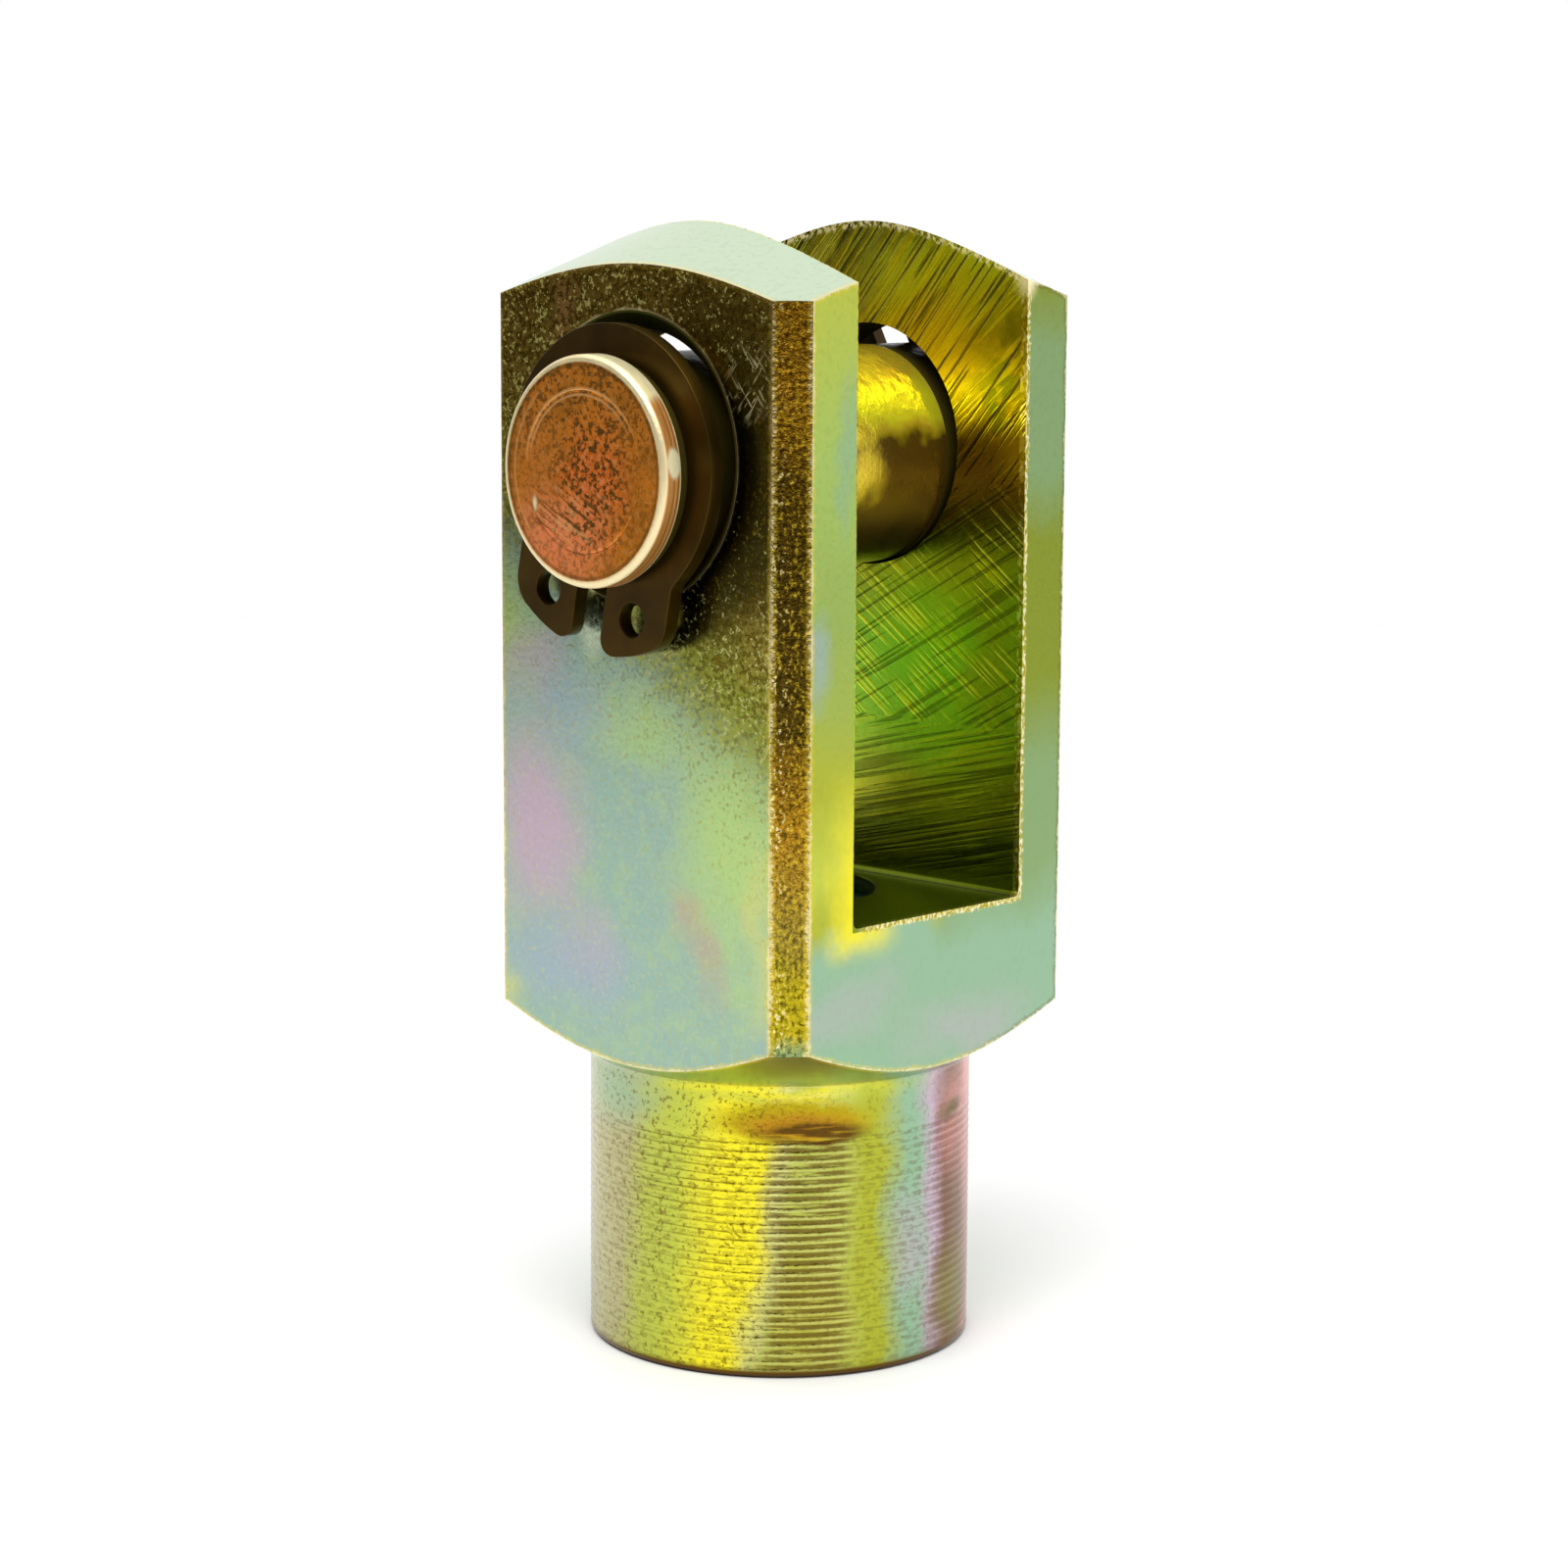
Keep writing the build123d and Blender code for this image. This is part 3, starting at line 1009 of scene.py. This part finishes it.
def pin_hole(make, tint, at, film):
    """Pin hole and countersink in painted shade, with a painted highlight along the
    countersink's edge. Also tells where the painted shade lies.
    """
    sunk_shade = at.past_hole.rises(0.15, 0.08) * abs(at.y).rises(5.62, 5.72)
    cone = abs(at.y).rises(8.7, 8.9) * (at.z - at.x).rises(40.0, 45.0)
    lip_highlight = abs(at.past_hole - 0.17).rises(0.07, 0.02) * abs(at.y).rises(9.2, 9.4)
    film = make.coats(
        film, (sunk_shade, make.mix(cone, tint.soot_and_shade, tint.shade_olive)),
        (lip_highlight * at.wear.rises(0.36, 0.50) * 0.8, tint.cream_wear_and_highlight),
    )
    return film, sunk_shade


def turned_shank(make, tint, at, film):
    """Shank: bands of tint on its surface unrolled, stain in its grooves, painted glints between
    them and painted shade along its foot.
    """
    rolled_out = make.join(at.across, 0.0, at.z)
    drift = make.wander(make.wander(rolled_out, 3.5, 2.2), 0.8, 0.6)
    along, _, up = make.split(drift)
    lean = (up - 11.0) * 0.12 * along.rises(-4.5, -8.0)
    bands = make.ramp(
        (along - lean) * (1 / RAMP_SPAN) + 0.5,
        ((0.00, tint.sage), (0.13, tint.sand), (0.20, tint.sand), (0.235, tint.reed),
         (0.27, tint.butter), (0.31, tint.lemon), (0.345, tint.lemon), (0.362, tint.straw),
         (0.375, tint.reed), (0.415, tint.reed), (0.435, tint.grass), (0.45, tint.grass),
         (0.48, tint.teal), (0.495, tint.teal), (0.515, tint.lilac), (0.54, tint.plum),
         (0.565, tint.plum), (0.59, tint.rose), (0.62, tint.rose), (0.66, tint.sand),
         (0.85, tint.leaf), (1.00, tint.sage)),
    )
    bands = make.blots(
        bands, drift,
        (tint.teal, (-16.0, 0, 12.5), (4.5, 3, 3.0), 0.7),
        (tint.lilac, (-0.8, 0, 5.5), (1.5, 3, 3.5), 0.5),
        (tint.butter, (-7.0, 0, 12.9), (9.0, 3, 0.9), 1.0),
        (tint.lemon, (-7.5, 0, 13.0), (6.5, 3, 0.6), 0.8),
        (tint.honey, (-5.8, 0, 3.0), (2.6, 3, 5.0), 0.35),
        (tint.rose, (3.0, 0, 10.5), (2.5, 3, 3.5), 0.7),
        (tint.umber, (2.4, 0, 11.2), (1.6, 3, 0.7), 1.0),
        (tint.umber, (3.4, 0, 5.0), (2.8, 3, 6.0), 0.45),
        (tint.peat, (3.0, 0, 2.0), (3.5, 3, 4.5), 0.6),
        (tint.fern, (2.6, 0, 2.6), (2.4, 3, 3.6), 0.4),
    )
    dashes = make.noise(make.join(at.across * 0.4, 0.0, at.z * 5), 1.0)
    broken = make.noise(make.join(at.across * 2.2, 0.0, at.z * 5), 1.0)
    lined = along.rises(-8.2, -7.0) * along.rises(-3.6, -4.6) + along.rises(0.0, 1.2) * 0.5
    groove = at.radius.rises(at.shank - 0.008, at.shank - 0.024) * up.rises(11.4, 11.0)
    # the cream between the grooves is painted glints
    bands = make.coats(
        bands,
        (groove * lined * dashes.rises(0.32, 0.48) * 0.8, tint.umber),
        ((1 - groove) * lined * dashes.rises(0.6, 0.5) * 0.12, tint.cream_wear_and_highlight),
        (groove * (1 - lined) * broken.rises(0.44, 0.58) * 0.35, tint.umber),
    )
    bands = make.blots(
        bands, make.wander(rolled_out, 0.8, 0.5),
        (tint.honey, (-6.5, 0, 11.7), (4.6, 3, 1.3), 2.0),
        (tint.ochre, (-6.3, 0, 11.5), (4.0, 3, 1.0), 1.2),
        (tint.umber, (-5.6, 0, 11.1), (3.4, 3, 0.8), dashes.rises(0.30, 0.60) * 1.6),
    )
    peppered = at.specks.rises(0.43, 0.36) * (along.rises(-6.8, -8.4) * 0.35 + 0.25)
    # the darkening in the lowest half millimetre of the shank is painted shade
    bands = make.coats(bands, (peppered, tint.umber), (at.z.rises(0.5, 0.25), tint.umber))
    outer = at.radius.rises(at.shank - 0.85, at.shank - 0.45)
    return make.mix(at.z.rises(at.neck + 0.3, at.neck) * outer, film, bands)


def worn_edges(make, tint, at, film):
    """Edges rubbed bright, with brown stain beside them, and a painted glint on the far ear's
    top corner. Also tells where they are torn and where that glint lies.
    """
    nearest = make.smaller(at.to_corner, make.smaller(at.to_crown, at.to_shoulder))
    ragged = (at.fine - 0.5) * 0.35 + (at.wear - 0.5) * 0.3
    outside = abs(at.x).rises(9.3, 9.4) + abs(at.y).rises(9.3, 9.4)
    outside = outside * at.z.rises(at.neck + 0.1, at.neck + 0.5)
    stain = (nearest + ragged).rises(0.25, 0.12) * outside
    rubbed = (nearest + ragged).rises(0.10, 0.02) * outside
    fringe = (at.to_rim + abs(at.x).rises(9.2, 9.0) * 5 + ragged).rises(0.28, 0.16)
    fringe = fringe * at.z.rises(19.0, 20.0) * at.y.rises(-5.4, -4.4)
    torn_and_glint = (at.to_crown + ragged).rises(0.40, 0.15) * at.inside * at.crust.rises(0.44, 0.56)
    # painted glint: a cream spot high on the far ear's outer corner
    torn_and_glint = make.larger(torn_and_glint, make.patch(at.place, (9.4, 5.6, 48.4), (0.9, 0.9, 1.3)))
    film = make.coats(
        film,
        (stain * 0.35, make.mix(at.y.rises(0.0, 6.0), tint.gold, tint.umber)),
        (rubbed * 0.5, tint.cream_wear_and_highlight),
        (fringe * 0.8, make.mix(at.crust.rises(0.44, 0.58), tint.honey, tint.cream_wear_and_highlight)),
        (torn_and_glint, tint.cream_wear_and_highlight),
    )
    return film, torn_and_glint


def fork_plating(tint, sizes):
    """Yellow-chromated zinc: a film whose colour drifts from lemon to mint, lilac and rose, with
    painted shade and painted highlights over it in places.
    """
    material, make, shader = new_material("fork_plating", 1.0)
    at = ForkSurface(make, sizes)
    film = make.ramp(
        make.noise(at.place, 9.0, detail=3.0),
        ((0.30, tint.haze), (0.42, tint.mint), (0.52, tint.leaf), (0.62, tint.straw),
         (0.72, tint.sage)),
    )
    film, flakes = front_face(make, tint, at, film)
    film = right_face(make, tint, at, film)
    film = bar_corners(make, tint, at, film)
    crown = at.facing_z.rises(0.6, 0.8) * at.z.rises(44.0, 46.0)
    film = make.mix(crown, film, tint.pearl)
    film, marks = slot_inside(make, tint, at, film)
    film, sunk_shade = pin_hole(make, tint, at, film)
    film = turned_shank(make, tint, at, film)
    film, torn_and_glint = worn_edges(make, tint, at, film)

    # relief: the cutter's marks, the grain, and fine turning under the shoulder
    feed = make.noise(make.join(at.across * 0.2, 0.0, at.z * 6), 1.0, detail=1.0)
    feed = feed * at.z.rises(at.neck + 0.2, at.neck - 0.1) * at.z.rises(10.8, 11.2)
    normal = make.bump(marks, 0.012)
    normal = make.bump(at.grain * (at.corner * 8 + 1), 0.004, normal)
    # the painted shade in the pin holes also takes away their metal and sheen
    make.finish(
        shader,
        Base_Color=make.mix(at.grain.rises(0.50, 0.35) * 0.06, film, tint.soot_and_shade),
        Metallic=1 - flakes * 0.5 - torn_and_glint * 0.5 - sunk_shade,
        Specular_IOR_Level=0.5 - sunk_shade * 0.49,
        Roughness=at.grain * 0.12 + 0.18 + sunk_shade * 0.6,
        Normal=make.bump(feed, 0.005, normal),
    )
    return material


def pin_plating(tint):
    """Chromated pin: coppery, scratched ends with a painted highlight round the rim, and a
    golden barrel with a painted highlight above and painted shade below.
    """
    material, make, shader = new_material("pin_plating", 1.0)
    place = make.place()
    x, y, z = make.split(place)
    height = z - PIN_HEIGHT / MM
    radius = make.length(make.join(x, height, 0.0))
    drift = make.wander(place, 1.5, 2.0)
    fine = make.noise(place, 0.2, roughness=0.6)
    grain = make.noise(place, 0.25, detail=3.0, roughness=0.6)

    # ends: cloudy copper, pitted and scratched, with painted highlights along the scored
    # circle's top and a circle on the left, and a painted glint
    coarse = make.noise(place, 0.32, detail=3.0, roughness=0.6)
    clouds = make.noise(drift, 1.8, detail=3.0)
    middle = make.patch(drift, (0.6, -12.5, 39.6), (3.4, 4, 3.8))
    rosy = make.patch(drift, (-1.6, -12.5, 37.2), (4.4, 4, 2.9))
    pits = make.larger(fine.rises(0.47, 0.40), coarse.rises(0.46, 0.38))
    scratches = make.streaks(place, 0.2, 2.0, -28)
    scratched = make.patch(drift, (-0.8, -12.5, 38.4), (3.4, 4, 1.8))
    circle_highlights = abs(abs(radius - 3.42) - 0.13).rises(0.09, 0.03)
    circle_highlights = circle_highlights * (height - x * 0.2).rises(0.8, 2.4)
    circle_highlights = circle_highlights + abs(radius - 4.2).rises(0.10, 0.03) * x.rises(-2.0, -3.6) * 0.7
    copper = make.coats(
        make.mix(clouds.rises(0.35, 0.65), tint.rust, tint.amber),
        (middle * 0.7, tint.copper),
        (make.patch(drift, (-2.8, -12.5, 40.8), (2.0, 4, 3.0)), tint.tan),
        (rosy * 0.9, tint.salmon),
        (coarse.rises(0.50, 0.64) * (middle * 0.2 + 0.18), tint.peach),
        (fine.rises(0.56, 0.66) * (middle + rosy) * 0.5, tint.salmon),
        (pits * (middle * 0.8 + height.rises(0.0, 3.0) * 0.4 + 0.4), tint.umber),
        (scratched * scratches.rises(0.46, 0.38) * 0.9, tint.umber),
        (scratched * scratches.rises(0.56, 0.66) * 0.6, tint.peach),
        (circle_highlights * 0.6, tint.peach),
        (abs(radius - 4.56).rises(0.12, 0.03) * 0.5, tint.umber),
        # painted glint: a cream spot on the lower left of each end
        (make.patch(place, (-2.95, -12.5, 38.7), (0.2, 1, 0.5)), tint.cream_wear_and_highlight),
    )

    # barrel, its tints from 35 to 45 mm up: a painted highlight high on it and painted shade
    # below; painted shade inside both holes
    barrel = make.ramp(
        make.split(drift)[2] * 0.1 - 3.5,
        ((0.12, tint.soot_and_shade), (0.26, tint.umber), (0.42, tint.peat), (0.60, tint.peat),
         (0.63, tint.honey), (0.66, tint.gold), (0.69, tint.lemon), (0.72, tint.barrel_highlight),
         (0.80, tint.barrel_highlight), (0.92, tint.gold)),
    )
    shaded_in_holes = abs(y).rises(5.50, 5.56)

    # the land outside each ring, cream where a painted highlight and a painted glint fall on it
    turned = make.noise(make.join(y * 7, 0.0, radius * 3), 1.0)
    land_highlight = make.larger(
        make.patch(drift, (1.9, -12.0, 44.4), (3.0, 4, 2.6)),
        make.patch(place, (5.0, -11.9, 40.8), (0.6, 0.5, 0.9)),
    )
    shoulder = make.mix(turned.rises(0.42, 0.60) * 0.6, tint.rust, tint.peach)
    shoulder = make.mix(land_highlight.rises(0.0, 0.5), shoulder, tint.cream_wear_and_highlight)
    land = abs(y).rises(11.41, 11.45)
    end = abs(y).rises(12.2, 12.4) * radius.rises(4.85, 4.7)
    # painted highlight: cream on the front of each end's rounding and a line along the land's
    # outer edge
    rim = radius.rises(4.64, 4.70) * abs(y).rises(12.26, 12.32)
    rim = rim + abs(abs(y) - 11.53).rises(0.09, 0.05)
    film = make.coats(
        barrel, (make.patch(drift, (4.8, 0.1, 39.9), (2, 1.5, 2.2)), tint.gold),
        (shaded_in_holes, tint.soot_and_shade), (land, shoulder), (end, copper), (rim * 0.8, tint.cream_wear_and_highlight),
    )

    lumps = make.noise(place, 0.7) * (1 - end) * height.rises(0.8, 2.0)
    turning = make.noise(make.join(y * 8, radius * 8, 0.0), 1.0) * (1 - end)
    normal = make.bump(lumps, 0.05, make.bump(fine, 0.012))
    # the painted shade on the pin inside the holes also takes away its metal and sheen
    shade_less_land = shaded_in_holes - land
    make.finish(
        shader,
        Base_Color=film,
        Metallic=end * 0.35 + 0.65 - shade_less_land * 0.65,
        Specular_IOR_Level=0.5 - shade_less_land * 0.49,
        Roughness=grain * 0.15 + 0.1 + land * 0.25 + end * 0.05,
        Normal=make.bump(turning, 0.006, normal),
    )
    return material


def ring_black(tint):
    """Black phosphated spring steel with an oiled sheen."""
    material, make, shader = new_material("ring_black", 0.8)
    place = make.place()
    grain = make.noise(place, 0.2, detail=3.0)
    make.finish(
        shader,
        Base_Color=make.mix(make.noise(place, 2.0), tint.ring_dark, tint.ring_brown),
        Specular_IOR_Level=0.2,
        Roughness=grain * 0.1 + 0.3,
        Normal=make.bump(grain, 0.002),
    )
    return material


# ------------------------------------------------------------------ stage
def make_floor(settings):
    bpy.ops.object.select_all(action="DESELECT")
    bpy.ops.mesh.primitive_circle_add(
        radius=settings.floor_radius, vertices=FLOOR_SIDES, fill_type="NGON",
    )
    floor = bpy.context.object
    floor.name = "pale_floor"
    material, make, shader = new_material("pale_floor", 0.0)
    make.finish(shader, Base_Color=(*settings.floor_tint, 1), Roughness=FLOOR_ROUGHNESS)
    floor.data.materials.append(material)


def make_light(settings):
    """A bright studio with an unlit stretch low in front, and a soft lamp overhead."""
    world = bpy.data.worlds.new("studio")
    bpy.context.scene.world = world
    world.use_nodes = True
    make = Recipe(world.node_tree)
    _, y, z = make.split(make.coordinates("Generated"))
    unlit = y.rises(-0.15, -0.5) * z.rises(0.75, 0.45)
    unseen = 1 - make.node("ShaderNodeLightPath", "Is Camera Ray")
    background = world.node_tree.nodes["Background"].inputs
    studio = make.mix(unlit * unseen, settings.bright_side, settings.dark_side)
    make.put(background["Color"], studio)

    lamp = bpy.data.lights.new("softbox", "AREA")
    lamp.shape = "DISK"
    lamp.size = settings.lamp_size
    lamp.energy = settings.lamp_power
    softbox = bpy.data.objects.new("softbox", lamp)
    softbox.location = settings.lamp_place
    softbox.rotation_euler = Vector(settings.lamp_place).to_track_quat("Z", "Y").to_euler()
    bpy.context.scene.collection.objects.link(softbox)


def make_camera(settings):
    data = bpy.data.cameras.new("camera")
    camera = bpy.data.objects.new("camera", data)
    bpy.context.scene.collection.objects.link(camera)
    data.lens = settings.camera_lens
    data.sensor_width = SENSOR
    data.clip_start = NEAREST_SEEN
    bpy.context.scene.view_settings.view_transform = "Standard"
    azimuth, elevation = settings.camera_azimuth, settings.camera_elevation
    level = Vector((math.cos(azimuth), math.sin(azimuth), 0))
    back = level.cross(UP) * math.cos(elevation) + UP * math.sin(elevation)
    roll = settings.camera_roll
    right = math.cos(roll) * level + math.sin(roll) * back.cross(level)
    up = back.cross(right)
    turn = Matrix((right, up, back)).transposed().to_4x4()
    camera.matrix_world = Matrix.Translation(settings.camera_place) @ turn
    bpy.context.scene.camera = camera


# ------------------------------------------------------------------ operators
class RODEND_OT_fork(bpy.types.Operator):
    """Models the fork head and puts it in place of its CAD node"""

    bl_idname = "rodend.fork"
    bl_label = "Fork head"

    def execute(self, context):
        sizes = context.scene.rodend_fork
        plating = fork_plating(context.scene.rodend_tints, sizes)
        hand_over(make_fork(sizes), "fork_head", plating)
        return {"FINISHED"}


class RODEND_OT_pin(bpy.types.Operator):
    """Models the clevis pin and puts it in place of its CAD node"""

    bl_idname = "rodend.pin"
    bl_label = "Clevis pin"

    def execute(self, context):
        plating = pin_plating(context.scene.rodend_tints)
        hand_over(make_pin(context.scene.rodend_pin), "clevis_pin", plating)
        return {"FINISHED"}


class RODEND_OT_rings(bpy.types.Operator):
    """Models both retaining rings and puts them in place of their CAD nodes"""

    bl_idname = "rodend.rings"
    bl_label = "Retaining rings"

    def execute(self, context):
        sizes = context.scene.rodend_ring
        black = ring_black(context.scene.rodend_tints)
        for name, node, outward, turn in (
            ("front_ring", "front_retaining_ring", -1, sizes.front_turn),
            ("rear_ring", "rear_retaining_ring", 1, sizes.rear_turn),
        ):
            hand_over(make_ring(sizes, name, node, outward, turn), node, black)
        return {"FINISHED"}


class RODEND_OT_stage(bpy.types.Operator):
    """Sets up the floor, the light and the camera"""

    bl_idname = "rodend.stage"
    bl_label = "Stage"

    def execute(self, context):
        settings = context.scene.rodend_stage
        make_floor(settings)
        make_light(settings)
        make_camera(settings)
        return {"FINISHED"}


class RODEND_PT_panel(bpy.types.Panel):
    """Lists the pieces of the rod end"""

    bl_label = "Rod End"
    bl_idname = "RODEND_PT_panel"
    bl_space_type = "VIEW_3D"
    bl_region_type = "UI"
    bl_category = "Rod End"

    def draw(self, context):
        for operator in OPERATORS:
            self.layout.operator(operator.bl_idname)
        for group in SETTINGS:
            box = self.layout.box()
            values = getattr(context.scene, group)
            for value in values.bl_rna.properties:
                if value.identifier not in ("name", "rna_type"):
                    box.prop(values, value.identifier)


SETTINGS = {
    "rodend_fork": ForkSizes,
    "rodend_pin": PinSizes,
    "rodend_ring": RingSizes,
    "rodend_tints": Tints,
    "rodend_stage": StageSettings,
}
OPERATORS = (RODEND_OT_fork, RODEND_OT_pin, RODEND_OT_rings, RODEND_OT_stage)


def register():
    for group in SETTINGS.values():
        bpy.utils.register_class(group)
    for name, group in SETTINGS.items():
        setattr(bpy.types.Scene, name, bpy.props.PointerProperty(type=group))
    for cls in (*OPERATORS, RODEND_PT_panel):
        bpy.utils.register_class(cls)


def unregister():
    for cls in (RODEND_PT_panel, *reversed(OPERATORS)):
        bpy.utils.unregister_class(cls)
    for name, group in SETTINGS.items():
        delattr(bpy.types.Scene, name)
        bpy.utils.unregister_class(group)


def main():
    register()
    bpy.ops.rodend.fork()
    bpy.ops.rodend.pin()
    bpy.ops.rodend.rings()
    bpy.ops.rodend.stage()


if __name__ == "__main__":
    main()
